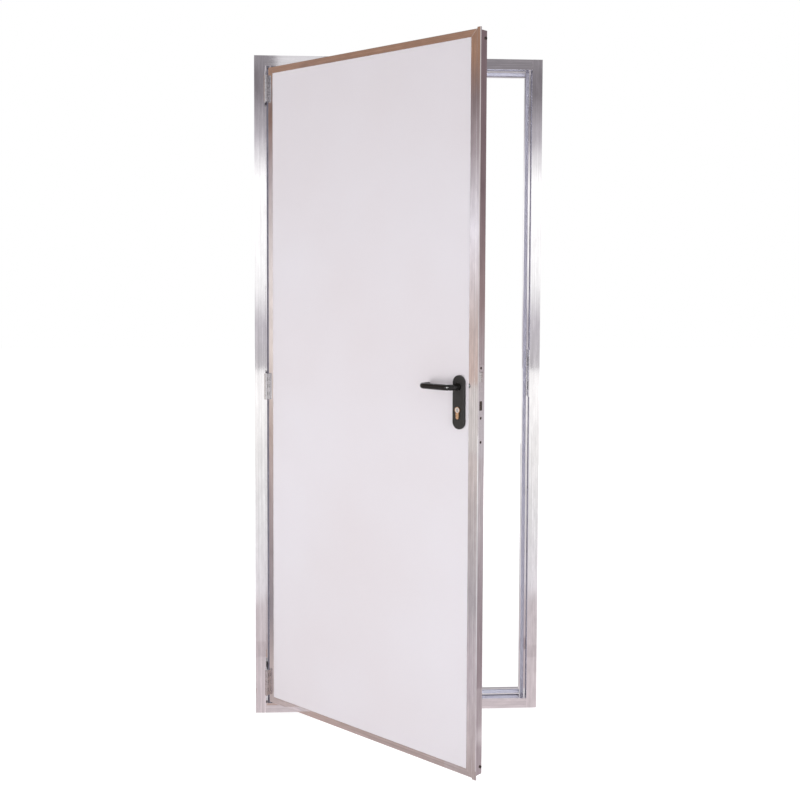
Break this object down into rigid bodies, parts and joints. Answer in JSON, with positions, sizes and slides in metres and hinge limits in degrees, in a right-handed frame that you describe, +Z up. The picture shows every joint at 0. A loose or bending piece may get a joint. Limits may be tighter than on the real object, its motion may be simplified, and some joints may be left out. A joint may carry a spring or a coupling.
{
  "type": "exterior_door_with_frame",
  "caption": "Single-leaf exterior service door in an aluminium frame: white sandwich panel, mitred edge profiles, foam seal, butt hinges, black lever handle and key lock.",
  "frame": {"origin": "middle of the sill's underside, at mid-depth of the frame", "axes": "+Z up, +X from the hinge side to the lock side, +Y from the knuckle side to the back"},
  "size_m": [0.9, 0.6693, 2.07],
  "materials": {
    "mill_aluminium": "mill finish with drawing lines",
    "seal_foam": "soft closed-cell foam",
    "zinc_steel": "bright zinc plating",
    "white_sheet": "satin coil coating",
    "core_foam": "rigid foam",
    "black_handle": "satin black",
    "cylinder_brass": "satin brass",
    "nickel": "satin nickel plating",
    "dark_steel": "dark oiled steel"
  },
  "bodies": {
    "frame": {"hinge_jamb": "mill_aluminium", "lock_jamb": "mill_aluminium", "head": "mill_aluminium", "sill": "mill_aluminium", "hinge_seal": "seal_foam", "lock_seal": "seal_foam", "head_seal": "seal_foam", "sill_seal": "seal_foam", "frame_corner_screws": "zinc_steel", "strike_plate": "zinc_steel", "strike_screws": "zinc_steel", "upper_frame_flap": "zinc_steel", "middle_frame_flap": "zinc_steel", "lower_frame_flap": "zinc_steel", "frame_flap_screws": "zinc_steel"},
    "leaf": {"hinge_stile": "mill_aluminium", "lock_stile": "mill_aluminium", "top_rail": "mill_aluminium", "bottom_rail": "mill_aluminium", "closing_strip": "mill_aluminium", "corner_cleats": "zinc_steel", "strip_rivets": "zinc_steel", "upper_leaf_flap": "zinc_steel", "middle_leaf_flap": "zinc_steel", "lower_leaf_flap": "zinc_steel", "leaf_flap_screws": "zinc_steel", "upper_pin": "zinc_steel", "middle_pin": "zinc_steel", "lower_pin": "zinc_steel", "lock_case": "zinc_steel", "lock_cover": "zinc_steel", "faceplate": "zinc_steel", "handle_bolts": "zinc_steel", "front_skin": "white_sheet", "back_skin": "white_sheet", "foam_core": "core_foam", "outer_plate": "black_handle", "inner_plate": "black_handle", "key_cylinder": "cylinder_brass", "leaf_corner_screws": "dark_steel", "faceplate_screws": "dark_steel", "cylinder_screw": "dark_steel"},
    "lever_set": {"outer_lever": "black_handle", "inner_lever": "black_handle", "spindle": "zinc_steel", "follower": "zinc_steel"},
    "latch": {"latch_bolt": "nickel"},
    "bolt": {"dead_bolt": "dark_steel"},
    "key_plug": {"outer_plug": "nickel", "inner_plug": "nickel", "cam": "zinc_steel"}
  },
  "joints": [
    {"name": "leaf_swing", "type": "hinge", "parent": "frame", "child": "leaf", "pos_m": [-0.415, -0.0425, 1.035], "axis": [0, 0, -1], "range_deg": [-46, 124]},
    {"name": "lever_turn", "type": "hinge", "parent": "leaf", "child": "lever_set", "pos_m": [0.1471, -0.57707, 1.093], "axis": [-0.7193, -0.6947, 0], "range_deg": [0, 40], "stiffness_Nm_per_rad": 1.2, "springref_deg": -17.19},
    {"name": "latch_slide", "type": "slide", "parent": "leaf", "child": "latch", "axis": [-0.6947, 0.7193, 0], "range_m": [0, 0.01]},
    {"name": "key_turn", "type": "hinge", "parent": "leaf", "child": "key_plug", "pos_m": [0.1471, -0.57707, 1.031], "axis": [-0.7193, -0.6947, 0], "range_deg": [0, 360]},
    {"name": "bolt_slide", "type": "slide", "parent": "leaf", "child": "bolt", "axis": [0.6947, -0.7193, 0], "range_m": [0, 0.02]}
  ],
  "couplings": [
    {"joint": "latch_slide", "follows": "lever_turn", "m_per_rad": 0.014324},
    {"joint": "key_turn", "follows": "bolt_slide", "rad_per_m": 314.16}
  ]
}
